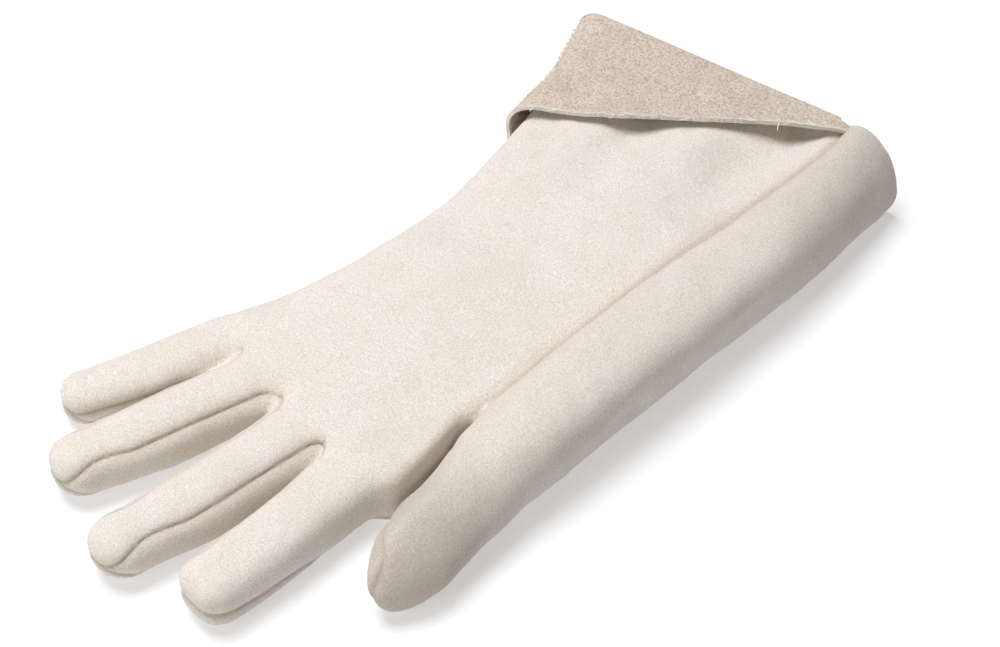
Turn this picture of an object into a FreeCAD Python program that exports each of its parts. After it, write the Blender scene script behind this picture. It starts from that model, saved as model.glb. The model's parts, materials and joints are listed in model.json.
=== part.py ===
import FreeCAD, Part
import math
import os
import re

# One insulated leather gauntlet glove, right hand, lying palm down.
# Millimetres. +Z is up, the fingers point along -Y, the cuff is at +Y and the thumb side is +X.
# The origin is on the surface that the glove lies on, under the middle of its bounding box.

Vector = FreeCAD.Vector

SIZES = {
    # walls
    "leather": 2.0,
    "lining": 3.0,
    "ply_gap": 0.2,
    "joint_gap": 0.5,
    # main shell: hand and gauntlet between the outer edge and the side roll
    "outer_corner": 15.0,
    "seam_corner": 8.0,
    "panel_split": 18.0,
    "seam_x": 51.0,
    "palm_edge_x": 65.0,
    # side roll: the long panel from the cuff to the thumb
    "roll_radius": 23.0,
    "roll_x": 68.7,
    "roll_front": -40.0,
    "roll_length": 250.0,
    "roll_yaw": 2.0,
    "passage_left": 44.0,
    "passage_right": 62.0,
    "passage_low": 7.0,
    "passage_high": 31.0,
    # lengthwise divisions
    "hand_front": -93.0,
    "wrist_front": 0.0,
    "wrist_back": 30.0,
    # cuff: a slanted mouth, and the leather turned back from it on both sides
    "cuff_outer_x": -88.0,
    "cuff_outer_y": 152.4,
    "cuff_slant": 15.2,
    "lining_setback": 14.0,
    "flap_gap": 0.6,
    "flap_floor": 30.0,
    "turnback_leather": 2.2,
    "turnback_right_x": 44.0,
    # digits: root centre, splay from -Y towards -X, radii, length, bend places
    "index_root_x": 33.5,
    "index_root_y": -94.0,
    "index_splay": -0.7,
    "index_root_radius": 15.5,
    "index_tip_radius": 13.5,
    "index_length": 89.0,
    "index_bend": 51.0,
    "index_flex_half": 10.0,
    "middle_root_x": 1.2,
    "middle_root_y": -95.5,
    "middle_splay": 5.2,
    "middle_root_radius": 16.0,
    "middle_tip_radius": 13.5,
    "middle_length": 104.0,
    "middle_bend": 60.0,
    "middle_flex_half": 11.0,
    "ring_root_x": -33.2,
    "ring_root_y": -97.3,
    "ring_splay": 13.9,
    "ring_root_radius": 15.0,
    "ring_tip_radius": 13.0,
    "ring_length": 92.5,
    "ring_bend": 52.0,
    "ring_flex_half": 10.0,
    "pinky_root_x": -61.5,
    "pinky_root_y": -92.5,
    "pinky_splay": 20.6,
    "pinky_root_radius": 13.0,
    "pinky_tip_radius": 11.0,
    "pinky_length": 75.0,
    "pinky_bend": 42.0,
    "pinky_flex_half": 9.0,
    "thumb_root_x": 73.2,
    "thumb_root_y": -42.6,
    "thumb_splay": -4.4,
    "thumb_root_radius": 19.2,
    "thumb_tip_radius": 15.0,
    "thumb_length": 82.0,
    "thumb_bend": 47.0,
    "thumb_flex_half": 11.0,
    # the round digits clear the surface that the palm lies on by this much
    "digit_lift": 0.3,
}

# Stations of the main shell: y, outer edge x, seam side x, underside z, top z.
STATIONS = [
    (-112.0, -72.0, 48.5, 0.0, 31.0),
    (-81.0, -65.0, 48.5, 0.0, 33.0),
    (-50.0, -59.0, 48.5, 0.0, 36.0),
    (-41.0, -57.0, 48.5, 0.0, 36.5),
    (-40.0, -57.0, 54.0, 0.0, 36.5),
    (-20.0, -54.0, 54.0, 0.0, 37.0),
    (14.0, -52.5, 54.0, 0.0, 36.0),
    (49.0, -57.0, 54.0, 0.0, 38.0),
    (75.0, -62.0, 54.0, 2.8, 40.0),
    (100.0, -68.0, 54.0, 2.8, 42.0),
    (150.0, -87.0, 54.0, 2.8, 42.0),
    (220.0, -108.0, 54.0, 2.8, 42.0),
]

# Plan of the leather turned back over the gauntlet, from its raw edge's thumb end round to the outer edge.
FLAP_RAW_EDGE = [(46.0, 184.0), (25.0, 162.0), (0.0, 136.0), (-40.0, 98.0), (-62.0, 86.0), (-100.0, 84.0)]
# Plan of the raw edge of the leather turned under the gauntlet.
TURNBACK_RAW_EDGE = [(44.0, 150.0), (0.0, 122.0), (-40.0, 100.0), (-66.0, 92.0)]

doc = FreeCAD.newDocument("cryogenic_glove")
nodes = []


def make_sheet():
    """The spreadsheet that holds every driving dimension under its own name."""
    sheet = doc.addObject("Spreadsheet::Sheet", "Sizes")
    for row, (name, number) in enumerate(SIZES.items(), start=1):
        sheet.set(f"A{row}", name)
        sheet.set(f"B{row}", str(number))
        sheet.setAlias(f"B{row}", name)
    doc.recompute()
    return sheet


def bind(item, prop, formula):
    """Bind a property to a formula whose names are cells of the sheet."""
    named = re.sub(r"[a-z_]{3,}", lambda word: f"Sizes.{word.group()}", formula)
    item.setExpression(prop, named)


def node(item, name):
    """Make an object one of the glove's named pieces."""
    item.Label = name
    nodes.append(item)
    return item


def fuse(name, *items):
    joined = doc.addObject("Part::MultiFuse", name)
    joined.Shapes = list(items)
    return joined


def cut(name, base, tool):
    result = doc.addObject("Part::Cut", name)
    result.Base = base
    result.Tool = tool
    return result


def common(name, base, tool):
    result = doc.addObject("Part::Common", name)
    result.Base = base
    result.Tool = tool
    return result


# ---------------------------------------------------------------- envelopes of the hand and gauntlet


def section(y, left, right, low, high, outer_corner, seam_corner):
    """A closed cross-section at y, with large corners on its outer edge and small ones at the seam."""
    half = math.sqrt(0.5)

    def corner(cx, cz, radius, start_x, start_z, end_x, end_z):
        reach_x = (start_x + end_x) * half
        reach_z = (start_z + end_z) * half
        return Part.Arc(
            Vector(cx + radius * start_x, y, cz + radius * start_z),
            Vector(cx + radius * reach_x, y, cz + radius * reach_z),
            Vector(cx + radius * end_x, y, cz + radius * end_z),
        ).toShape()

    arcs = [
        corner(right - seam_corner, low + seam_corner, seam_corner, 0, -1, 1, 0),
        corner(right - seam_corner, high - seam_corner, seam_corner, 1, 0, 0, 1),
        corner(left + outer_corner, high - outer_corner, outer_corner, 0, 1, -1, 0),
        corner(left + outer_corner, low + outer_corner, outer_corner, -1, 0, 0, -1),
    ]
    edges = []
    for arc, following in zip(arcs, arcs[1:] + arcs[:1]):
        edges.append(arc)
        edges.append(Part.makeLine(arc.lastVertex(True).Point, following.firstVertex(True).Point))
    return Part.Wire(edges)


def envelope(name, inset):
    """The solid inside the main shell's outer face, drawn in by inset all round."""
    wires = []
    for y, left, right, low, high in STATIONS:
        wires.append(section(y, left + inset, right - inset, low + inset, high - inset,
                             SIZES["outer_corner"] - inset, SIZES["seam_corner"] - inset))
    item = doc.addObject("Part::Feature", name)
    item.Shape = Part.makeLoft(wires, True, True)
    return item


def roll_solid(name, inset):
    """The solid inside the side roll, drawn in by inset."""
    item = doc.addObject("Part::Cylinder", name)
    bind(item, "Radius", f"roll_radius - {inset}")
    bind(item, "Height", "roll_length")
    heading = Vector(-math.sin(math.radians(SIZES["roll_yaw"])), math.cos(math.radians(SIZES["roll_yaw"])), 0)
    start = Vector(SIZES["roll_x"], SIZES["roll_front"], SIZES["roll_radius"])
    item.Placement = FreeCAD.Placement(start, FreeCAD.Rotation(Vector(0, 0, 1), heading))
    return item


def passage(name, inset):
    """The open way from the main shell into the side roll."""
    item = doc.addObject("Part::Box", name)
    bind(item, "Length", "passage_right - passage_left")
    bind(item, "Width", "roll_length")
    bind(item, "Height", f"passage_high - passage_low - {2 * inset}")
    corner = Vector(SIZES["passage_left"], SIZES["roll_front"], SIZES["passage_low"] + inset)
    item.Placement = FreeCAD.Placement(corner, FreeCAD.Rotation())
    return item


def glove_solid(name, inset, with_passage=True):
    """Main shell and side roll together, drawn in by inset."""
    parts = [envelope(f"{name}_main", inset), roll_solid(f"{name}_roll", inset)]
    if with_passage:
        parts.append(passage(f"{name}_passage", inset))
    return fuse(name, *parts)


def prism(name, outline, low=-10.0, high=90.0):
    """An upright prism on a plan outline."""
    polygon = doc.addObject("Part::Polygon", f"{name}_outline")
    polygon.Nodes = [Vector(x, y, low) for x, y in outline]
    polygon.Close = True
    item = doc.addObject("Part::Extrusion", name)
    item.Base = polygon
    item.DirMode = "Custom"
    item.Dir = Vector(0, 0, 1)
    item.LengthFwd = high - low
    item.Solid = True
    return item


def cuff_line(x, setback=0.0):
    """y of the slanted cuff mouth at x, moved towards the fingers by setback."""
    slope = math.tan(math.radians(SIZES["cuff_slant"]))
    return SIZES["cuff_outer_y"] - setback + (x - SIZES["cuff_outer_x"]) * slope


def region_box(name, low_corner, high_corner):
    item = doc.addObject("Part::Box", name)
    item.Length, item.Width, item.Height = (b - a for a, b in zip(low_corner, high_corner))
    item.Placement = FreeCAD.Placement(Vector(*low_corner), FreeCAD.Rotation())
    return item


FAR = 150.0
LENGTH_FAR = 260.0


def split_panels(zone, shell):
    """Divide a length of shell into its back, palm and side panels."""
    split = SIZES["panel_split"]
    above = region_box(f"{zone}_above", (-FAR, -LENGTH_FAR, split), (SIZES["seam_x"], LENGTH_FAR, FAR))
    below = region_box(f"{zone}_below", (-FAR, -LENGTH_FAR, -FAR), (SIZES["palm_edge_x"], LENGTH_FAR, split))
    node(common(f"{zone}_back", shell, above), f"{zone}_back_panel")
    node(common(f"{zone}_palm", shell, below), f"{zone}_palm_panel")
    node(cut(f"{zone}_side", shell, fuse(f"{zone}_not_side", above, below)), f"{zone}_side_panel")


def make_hand_and_gauntlet():
    leather = SIZES["leather"]
    lining_face = leather + SIZES["ply_gap"]
    inside_face = lining_face + SIZES["lining"]
    outer = glove_solid("glove_outer", 0.0, with_passage=False)
    leather_core = glove_solid("leather_core", leather)
    lining_outer = glove_solid("lining_outer", lining_face)
    hollow = glove_solid("glove_hollow", inside_face)
    leather_shell = cut("leather_shell", outer, leather_core)
    lining_shell = cut("lining_shell", lining_outer, hollow)
    whole_wall = cut("whole_wall", outer, hollow)

    gap = SIZES["joint_gap"]
    front = SIZES["hand_front"]
    knuckle_corner = (SIZES["ring_root_x"] - SIZES["ring_root_radius"] + 1.0, front)
    outer_corner = (-FAR, front + (knuckle_corner[0] + FAR) * math.tan(math.radians(SIZES["pinky_splay"])))
    hand_zone = prism("hand_zone", [(FAR, front), knuckle_corner, outer_corner,
                                    (-FAR, SIZES["wrist_front"] - gap), (FAR, SIZES["wrist_front"] - gap)])
    split_panels("hand", common("hand_leather", leather_shell, hand_zone))
    node(common("hand_inside", lining_shell, hand_zone), "hand_lining")

    wrist_zone = region_box("wrist_zone", (-FAR, SIZES["wrist_front"], -FAR), (FAR, SIZES["wrist_back"], FAR))
    node(common("wrist_wall", whole_wall, wrist_zone), "wrist_band")

    wrist_end = SIZES["wrist_back"] + gap
    gauntlet_zone = prism("gauntlet_zone", [(-FAR, wrist_end), (FAR, wrist_end),
                                            (FAR, cuff_line(FAR)), (-FAR, cuff_line(-FAR))])
    split_panels("gauntlet", common("gauntlet_leather", leather_shell, gauntlet_zone))
    setback = SIZES["lining_setback"]
    lining_zone = prism("lining_zone", [(-FAR, wrist_end), (FAR, wrist_end),
                                        (FAR, cuff_line(FAR, setback)), (-FAR, cuff_line(-FAR, setback))])
    node(common("gauntlet_inside", lining_shell, lining_zone), "gauntlet_lining")


# ---------------------------------------------------------------- leather turned back at the cuff


def make_turnbacks():
    gap = SIZES["flap_gap"]
    over = cut("flap_shell", envelope("flap_outer", -gap - SIZES["leather"]), envelope("flap_inner", -gap))
    fold = [(x, cuff_line(x, gap)) for x in (-100.0, FLAP_RAW_EDGE[0][0])]
    plan = prism("flap_plan", fold + FLAP_RAW_EDGE, low=SIZES["flap_floor"])
    node(common("flap_over", over, plan), "cuff_back_turnback")

    right = SIZES["turnback_right_x"]
    left = SIZES["cuff_outer_x"] + SIZES["outer_corner"] / 2
    outline = [(left, cuff_line(left)), (right, cuff_line(right))] + TURNBACK_RAW_EDGE
    under = prism("turnback_under", outline, low=0.0, high=SIZES["turnback_leather"])
    bind(under, "LengthFwd", "turnback_leather")
    node(under, "cuff_palm_turnback")


# ---------------------------------------------------------------- digits


def digit_placement(digit, station, turn=0.0):
    """Frame at a station along a digit: local Z towards its tip, the sector angle counted from its side."""
    splay = math.radians(SIZES[f"{digit}_splay"])
    drop = (SIZES[f"{digit}_root_radius"] - SIZES[f"{digit}_tip_radius"]) / SIZES[f"{digit}_length"]
    forward = Vector(-math.sin(splay), -math.cos(splay), -drop).normalize()
    side = forward.cross(Vector(0, 0, 1)).normalize()
    up = side.cross(forward)
    root_z = SIZES[f"{digit}_root_radius"] + SIZES["digit_lift"]
    root = Vector(SIZES[f"{digit}_root_x"], SIZES[f"{digit}_root_y"], root_z)
    # the local axes are (up, side, forward): X x Y = Z
    rotation = FreeCAD.Rotation(up, side, forward, "ZXY")
    return FreeCAD.Placement(root + forward * station, rotation * FreeCAD.Rotation(Vector(0, 0, 1), turn))


def radius_formula(digit, station):
    taper = f"({digit}_root_radius - {digit}_tip_radius)"
    return f"{digit}_root_radius - {taper} * ({station}) / {digit}_length"


def round_length(name, digit, start, end, inset, turn=0.0, sector=360.0, closed=False):
    """A length of a digit between two stations, drawn in by inset; closed adds its round tip.

    Stations are formulas of the sheet's names; start_value and end_value are the same in millimetres.
    """
    (start_formula, start_value), (end_formula, _) = start, end
    length = doc.addObject("Part::Cone", name)
    bind(length, "Radius1", f"{radius_formula(digit, start_formula)} - {inset}")
    bind(length, "Radius2", f"{radius_formula(digit, end_formula)} - {inset}")
    bind(length, "Height", f"{end_formula} - ({start_formula})")
    length.Angle = sector
    length.Placement = digit_placement(digit, start_value, turn)
    if not closed:
        return length
    tip = doc.addObject("Part::Sphere", f"{name}_tip")
    bind(tip, "Radius", f"{radius_formula(digit, end_formula)} - {inset}")
    tip.Angle1 = 0
    tip.Angle2 = 90
    tip.Angle3 = sector
    tip.Placement = digit_placement(digit, end[1], turn)
    return fuse(f"{name}_closed", length, tip)


def tube(name, digit, start, end, outside, inside, turn=0.0, sector=360.0, closed=False):
    """A wall between two insets of a digit, all round or over one sector."""
    skin = round_length(f"{name}_skin", digit, start, end, outside, turn, sector, closed)
    core = round_length(f"{name}_core", digit, start, end, inside, closed=closed)
    return cut(f"{name}_wall", skin, core)


# Sectors of a digit's leather: first angle and width, counted from its top towards its little-finger side.
# Where two fingers face each other a sidewall boxes each of them out, so the middle two have a pair.
MIDDLE_PANELS = {"back": [(-45.0, 90.0)], "sidewalls": [(45.0, 90.0), (225.0, 90.0)], "palm": [(135.0, 90.0)]}
# The outermost fingers have one, and back and palm meet in one seam along the outer side.
INDEX_PANELS = {"back": [(-90.0, 135.0)], "sidewall": [(45.0, 90.0)], "palm": [(135.0, 135.0)]}
PINKY_PANELS = {"back": [(-45.0, 135.0)], "palm": [(90.0, 135.0)], "sidewall": [(225.0, 90.0)]}
# The thumb's leather is in two halves, joined by one seam on top and one underneath.
THUMB_PANELS = {"outer": [(200.0, 180.0)], "inner": [(20.0, 180.0)]}
DIGIT_PANELS = {
    "index": INDEX_PANELS,
    "middle": MIDDLE_PANELS,
    "ring": MIDDLE_PANELS,
    "pinky": PINKY_PANELS,
    "thumb": THUMB_PANELS,
}


def make_segment(digit, part, start, end, panels, closed):
    """One rigid length of a digit: its leather panels and its lining."""
    leather = SIZES["leather"]
    lining_face = leather + SIZES["ply_gap"]
    inside_face = lining_face + SIZES["lining"]
    for panel, sectors in panels.items():
        walls = []
        for count, (turn, width) in enumerate(sectors):
            name = f"{digit}_{part}_{panel}_{count}"
            walls.append(tube(name, digit, start, end, 0.0, leather, turn, width, closed))
        wall = walls[0]
        if len(walls) > 1:
            wall = doc.addObject("Part::Compound", f"{digit}_{part}_{panel}_pair")
            wall.Links = walls
        node(wall, f"{digit}_{part}_{panel}")
    lining = tube(f"{digit}_{part}_inside", digit, start, end, lining_face, inside_face, closed=closed)
    node(lining, f"{digit}_{part}_lining")


def make_digit(digit, panels):
    """A digit: two rigid lengths, and a flexing band at its knuckle and at its middle bend."""
    half = SIZES[f"{digit}_flex_half"]
    bend = SIZES[f"{digit}_bend"]
    gap = SIZES["joint_gap"]
    half_name, bend_name = f"{digit}_flex_half", f"{digit}_bend"
    tip_value = SIZES[f"{digit}_length"] - SIZES[f"{digit}_tip_radius"]
    knuckle_start = ("0", 0.0)
    knuckle_end = (f"2 * {half_name}", 2 * half)
    proximal_start = (f"2 * {half_name} + joint_gap", 2 * half + gap)
    proximal_end = (f"{bend_name} - {half_name} - joint_gap", bend - half - gap)
    bend_start = (f"{bend_name} - {half_name}", bend - half)
    bend_end = (f"{bend_name} + {half_name}", bend + half)
    distal_start = (f"{bend_name} + {half_name} + joint_gap", bend + half + gap)
    tip_start = (f"{digit}_length - {digit}_tip_radius", tip_value)
    whole_wall = SIZES["leather"] + SIZES["ply_gap"] + SIZES["lining"]

    knuckle = tube(f"{digit}_knuckle", digit, knuckle_start, knuckle_end, 0.0, whole_wall)
    node(knuckle, f"{digit}_knuckle_band")
    make_segment(digit, "proximal", proximal_start, proximal_end, panels, closed=False)
    middle = tube(f"{digit}_middle", digit, bend_start, bend_end, 0.0, whole_wall)
    node(middle, f"{digit}_bend_band")
    make_segment(digit, "distal", distal_start, tip_start, panels, closed=True)


# ---------------------------------------------------------------- build, check, write


def check_document():
    for item in doc.Objects:
        if {"Invalid", "Error"} & set(item.State):
            raise RuntimeError(f"{item.Name} failed: {item.State}")
    names = [item.Label for item in nodes]
    if len(set(names)) != len(names):
        raise RuntimeError("two pieces share a name")
    for item in nodes:
        if item.Shape.isNull() or not item.Shape.isValid() or not item.Shape.Solids:
            raise RuntimeError(f"{item.Label} is not a valid solid")


def write_parts():
    os.makedirs("parts", exist_ok=True)
    for item in nodes:
        item.Shape.exportStep(os.path.join("parts", f"{item.Label}.step"))


def main():
    make_sheet()
    make_hand_and_gauntlet()
    make_turnbacks()
    for digit, panels in DIGIT_PANELS.items():
        make_digit(digit, panels)
    doc.recompute()
    check_document()
    write_parts()
    box = FreeCAD.BoundBox()
    for item in nodes:
        box.add(item.Shape.optimalBoundingBox(False))
    print(f"{len(nodes)} pieces, x {box.XMin:.1f}..{box.XMax:.1f}, "
          f"y {box.YMin:.1f}..{box.YMax:.1f}, z {box.ZMin:.1f}..{box.ZMax:.1f}")


main()
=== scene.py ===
"""The looks of an insulated suede gauntlet glove, right hand, lying palm down.

Lengths are in millimetres unless a comment says metres, in the frame that the CAD model shares: +Z up,
fingers along -Y, thumb side +X.
The glove's skin is one smooth surface, the zero level of a distance-like field. It is meshed, divided
along its seams and where it bends, and each piece becomes a closed shell of leather. Pieces where it
bends stay in place, and the others follow their bodies.
"""

import json
from functools import partial
from itertools import product

import bpy
import numpy as np
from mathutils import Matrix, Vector, noise


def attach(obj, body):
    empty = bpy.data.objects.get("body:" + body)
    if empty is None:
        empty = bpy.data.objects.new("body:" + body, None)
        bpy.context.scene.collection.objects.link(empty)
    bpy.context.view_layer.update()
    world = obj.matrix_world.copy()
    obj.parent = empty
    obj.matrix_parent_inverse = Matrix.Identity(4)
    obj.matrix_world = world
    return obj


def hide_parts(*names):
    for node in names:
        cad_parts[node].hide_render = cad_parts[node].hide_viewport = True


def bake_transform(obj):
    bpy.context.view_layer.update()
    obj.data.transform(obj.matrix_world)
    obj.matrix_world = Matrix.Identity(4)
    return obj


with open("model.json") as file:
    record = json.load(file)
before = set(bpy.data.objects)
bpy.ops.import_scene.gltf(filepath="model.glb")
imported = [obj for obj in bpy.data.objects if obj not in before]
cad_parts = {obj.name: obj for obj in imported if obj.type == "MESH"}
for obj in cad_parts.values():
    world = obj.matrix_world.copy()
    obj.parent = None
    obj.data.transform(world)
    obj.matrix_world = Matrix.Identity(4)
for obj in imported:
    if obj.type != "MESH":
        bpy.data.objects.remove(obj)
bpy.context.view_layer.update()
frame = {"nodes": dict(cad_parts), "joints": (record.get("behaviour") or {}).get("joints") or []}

MM = 0.001
FINGERS = ("index", "middle", "ring", "pinky")
JOINTS = {joint["name"]: joint for joint in frame["joints"]}

# Thicknesses of the leather and the lining, and the gaps between them and under the glove.
LEATHER = 2.0
PLY_GAP = 0.3
LINING = 3.0
FLOOR_GAP = 0.3

# Cell sizes of the grids that the surfaces are meshed on.
SKIN_STEP = 1.4
LINING_STEP = 3.2
# A point this near a cut counts as on it, so that no slivers are made.
ON_CUT = 0.2

# Stands for a distance too large to matter.
FAR = 99.0


# ---------------- small tools


def curve(*points):
    """A smooth function through (station, value) points, level beyond its ends."""
    stations, values = np.array(sorted(points), float).T
    slopes = np.gradient(values, stations)

    def at(station):
        station = np.clip(station, stations[0], stations[-1])
        low = np.clip(np.searchsorted(stations, station) - 1, 0, len(stations) - 2)
        width = stations[low + 1] - stations[low]
        u = (station - stations[low]) / width
        bend = (1 - u) ** 2 * u * width * slopes[low] - u**2 * (1 - u) * width * slopes[low + 1]
        blend = u * u * (3 - 2 * u)
        return values[low] * (1 - blend) + values[low + 1] * blend + bend

    return at


def fade(value, start, end):
    """0 before start, 1 after end, smooth between."""
    u = np.clip((value - start) / (end - start), 0, 1)
    return u * u * (3 - 2 * u)


def smooth_min(a, b, k):
    """The lower of a and b, rounded off where they are within k of each other."""
    h = np.clip(k - np.abs(a - b), 0, None) / k
    return np.minimum(a, b) - h * h * k / 4


def smooth_max(a, b, k):
    return -smooth_min(-a, -b, k)


def power_norm(power, *terms):
    return sum(np.abs(term) ** power for term in terms) ** (1 / power)


def unit(vectors):
    return vectors / np.maximum(np.linalg.norm(vectors, axis=1, keepdims=True), 1e-9)


def wander(points, size, seed=0.0):
    """Smooth noise from -1 to 1 whose bumps are about size wide."""
    offset = Vector((seed, seed, seed))
    return np.array([noise.noise(Vector(point) / size + offset) for point in points.tolist()])


def node_points(name):
    """A CAD node's vertices."""
    mesh = frame["nodes"][name].data
    points = np.empty(len(mesh.vertices) * 3)
    mesh.vertices.foreach_get("co", points)
    return points.reshape(-1, 3) / MM


def hinge(name):
    return np.array(JOINTS[name]["pos_m"]) / MM


# ---------------- the glove's shape as fields


class Digit:
    """A digit's own coordinates: a station from its root to its tip, and an offset to the thumb side.

    knuckle_flex is how far its flexing length reaches from the root, and bend_flex how far the other one
    reaches to each side of the bend's hinge.
    """

    def __init__(self, name, knuckle_flex, bend_flex):
        knuckle = hinge("thumb_swing" if name == "thumb" else f"{name}_knuckle")
        bend = hinge(f"{name}_bend")
        ahead = (bend - knuckle)[:2]
        self.along = ahead / np.linalg.norm(ahead)
        self.across = np.array([-self.along[1], self.along[0]])
        start = (node_points(f"{name}_knuckle_band")[:, :2] @ self.along).min()
        tips = [node for node in frame["nodes"] if node.startswith(f"{name}_distal")]
        self.root = knuckle[:2] + self.along * (start - knuckle[:2] @ self.along)
        self.length = max((node_points(node)[:, :2] @ self.along).max() for node in tips) - start
        self.knuckle_end = knuckle_flex
        self.bend_start = (bend[:2] - self.root) @ self.along - bend_flex
        self.bend_end = self.bend_start + 2 * bend_flex

    def station(self, x, y):
        """Distance from the root along the digit."""
        return (x - self.root[0]) * self.along[0] + (y - self.root[1]) * self.along[1]

    def offset(self, x, y):
        """Distance across the digit from its straight line."""
        return (x - self.root[0]) * self.across[0] + (y - self.root[1]) * self.across[1]

    def place(self, station):
        """The point at a station on the digit's line, in metres."""
        return Vector((*(self.root + self.along * station), 0.0)) * MM


class Finger(Digit):
    """A box-cut finger, with its sizes given at WIDTH_AT and its bow to the thumb side at BOW_AT.

    neighbours are the sides, -1 or 1, where it has another finger and so a strip between two seams. Seams
    are at shares of its height, with outer_seam's places at shares of its length. A power of 2 makes its
    cross-section round, and more makes it boxy. It ends by shorter before its CAD tube does.
    """

    WIDTH_AT = (-0.35, 0.0, 0.15, 0.45, 0.8)
    BOW_AT = (0, 0.15, 0.45, 0.95)
    TIP_DOME = 1.05
    HEEL_START, HEEL_LENGTH = -28, 14

    def __init__(self, name, shape):
        super().__init__(name, shape.get("knuckle_flex", 26), shape.get("bend_flex", 14))
        self.half_width = curve(*self.spaced(self.WIDTH_AT, shape["half_width"]))
        self.half_height = curve(*self.spaced(self.WIDTH_AT, shape["half_height"]))
        self.bow = curve(*self.spaced(self.BOW_AT, (0, *shape["bow"])))
        self.neighbours = shape.get("neighbours", (-1, 1))
        self.power = shape.get("power", 2.25)
        self.upper_seam = shape.get("upper_seam", 0.85)
        self.outer_seam = shape.get("outer_seam", ((-0.3, 0.70), (0.2, 0.42), (0.8, 0.42)))
        self.length -= shape.get("shorter", 0)

    def spaced(self, shares, values):
        """Values with the stations that they belong to, from shares of the finger's length."""
        return [(share * self.length, value) for share, value in zip(shares, values)]

    def side(self, x, y):
        """Distance across the finger from its bowed middle line."""
        return self.offset(x, y) - self.bow(self.station(x, y))

    def field(self, x, y, z):
        station = self.station(x, y)
        half_width, half_height = self.half_width(station), self.half_height(station)
        dome = self.TIP_DOME * half_width
        tip = np.maximum(station - (self.length - dome), 0) / dome
        heel = np.maximum(self.HEEL_START - station, 0) / self.HEEL_LENGTH
        across = self.side(x, y) / half_width
        rise = (z - FLOOR_GAP - half_height) / half_height
        flat = power_norm(self.power, tip, heel, across)
        return (power_norm(self.power, flat, rise) - 1) * np.minimum(half_width, half_height)


FINGER_SHAPES = {
    "index": {
        "half_width": (15, 15.4, 15.2, 14.7, 14.3),
        "half_height": (13, 15.2, 15, 14.8, 13.4),
        "bow": (0.0, 1.7, 0.4),
        "neighbours": (-1,),
        "power": 2.9,
        "outer_seam": ((0.0, 0.12), (0.3, 0.14), (0.55, 0.34), (0.85, 0.42)),
    },
    "middle": {
        "half_width": (15, 16.4, 16.2, 15.9, 14.4),
        "half_height": (13, 15.4, 15.3, 15.2, 13.6),
        "bow": (1.0, 2.9, 0),
    },
    "ring": {
        "half_width": (15, 15.8, 15.6, 15.3, 14.0),
        "half_height": (13, 15.2, 15.1, 15.0, 13.2),
        "bow": (0.8, 2.3, 0),
    },
    "pinky": {
        "half_width": (13, 13.4, 13.2, 12.9, 11.6),
        "half_height": (12, 13.0, 12.8, 12.2, 11.0),
        "bow": (1.2, 2.8, 1.4),
        "neighbours": (1,),
        "power": 2.4,
        "upper_seam": 0.62,
        "knuckle_flex": 22,
        "bend_flex": 12,
        "shorter": 2.5,
    },
}
DIGITS = {name: Finger(name, FINGER_SHAPES[name]) for name in FINGERS}
THUMB = Digit("thumb", 23, 14)

# The main shell, hand and gauntlet together: its edges, heights and corner radii along y.
outer_edge = curve(
    (-112, -72), (-81, -65), (-50, -59), (-8, -53), (30, -53.5), (71, -61.5), (100, -69), (150, -90),
    (200, -112),
)
seam_edge = curve(
    (-112, 49), (-98, 53), (-82, 52.4), (-60, 48.8), (-48, 48.2), (-40, 52.5), (-34, 54), (0, 55), (90, 54),
    (200, 52),
)
top_height = curve(
    (-112, 27.5), (-81, 30), (-50, 32), (0, 36), (30, 36.5), (71, 39.5), (100, 40.8), (150, 41), (200, 41),
)
outer_corner = curve((90, 16.0), (150, 10.0))
inner_corner = curve((-90, 5.0), (-50, 5.0), (-34, 12.0))
crown_height = curve((-100, 3), (-50, 5), (0, 3), (100, 3), (150, 1), (180, 0))
under_height = curve((70, 0.3), (86, 3.0))
# The hand ends at this y, along x.
knuckle_line = curve((-76, -82), (-61, -90), (-45, -94), (-20, -98), (18, -97), (40, -97), (54, -92))

# The side roll and the thumb are one tube along y. Its power is 2 where it is round.
roll_centre = curve(
    (-124, 82.6), (-115, 80.3), (-107, 79), (-100, 78.4), (-91, 76.2), (-79, 74.8), (-60, 72.0), (-50, 71.0),
    (-40, 70), (-20, 69), (60, 65.5), (124, 64.5), (150, 63.8), (165, 62.4), (186, 60), (197, 58),
)
roll_half_width = curve(
    (-124, 9.8), (-115, 13.4), (-107, 16.7), (-100, 18.2), (-91, 19.5), (-79, 19.3), (-60, 20.4), (-50, 20.2),
    (-40, 20.9), (-20, 21.3), (60, 21.7), (124, 20), (150, 18.2), (165, 17), (186, 15), (197, 14),
)
roll_half_height = curve(
    (-124, 16), (-112, 17.5), (-90, 19), (-60, 20.2), (-45, 21.5), (-20, 23), (60, 23), (150, 23),
    (190, 22.5),
)
# How far the roll leans: to the outside at its foot and to the seam at its top.
roll_lean = curve((-124, 0.3), (-95, 0.15), (-60, 0.0), (130, 0.0), (170, 0.12), (195, 0.3))
roll_power = curve((-90, 1.85), (-60, 2.0), (-30, 2.4), (130, 2.5), (180, 2.1))
THUMB_TIP = -127.5
THUMB_DOME = 17.0
THUMB_CROTCH = -43.0
# The thumb's inner side slopes down from a ridge at this x to the height SLOPE_FOOT beside the hand. The
# slack moves the slope off the thumb, where the thumb joins the roll.
thumb_ridge = curve((-120, 80), (-106, 74), (-84, 73), (-58, 60), (-48, 53))
slope_slack = curve((-60, 1.0), (-46, 8.0))
SLOPE_FOOT = 19.0
# Where the thumb's seam runs, in half-widths from its middle to the inner side.
thumb_seam_place = curve((-122, 0.0), (-117.5, 0.17), (-114, 0.46), (-105, 0.84), (-99, 0.93))


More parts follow.
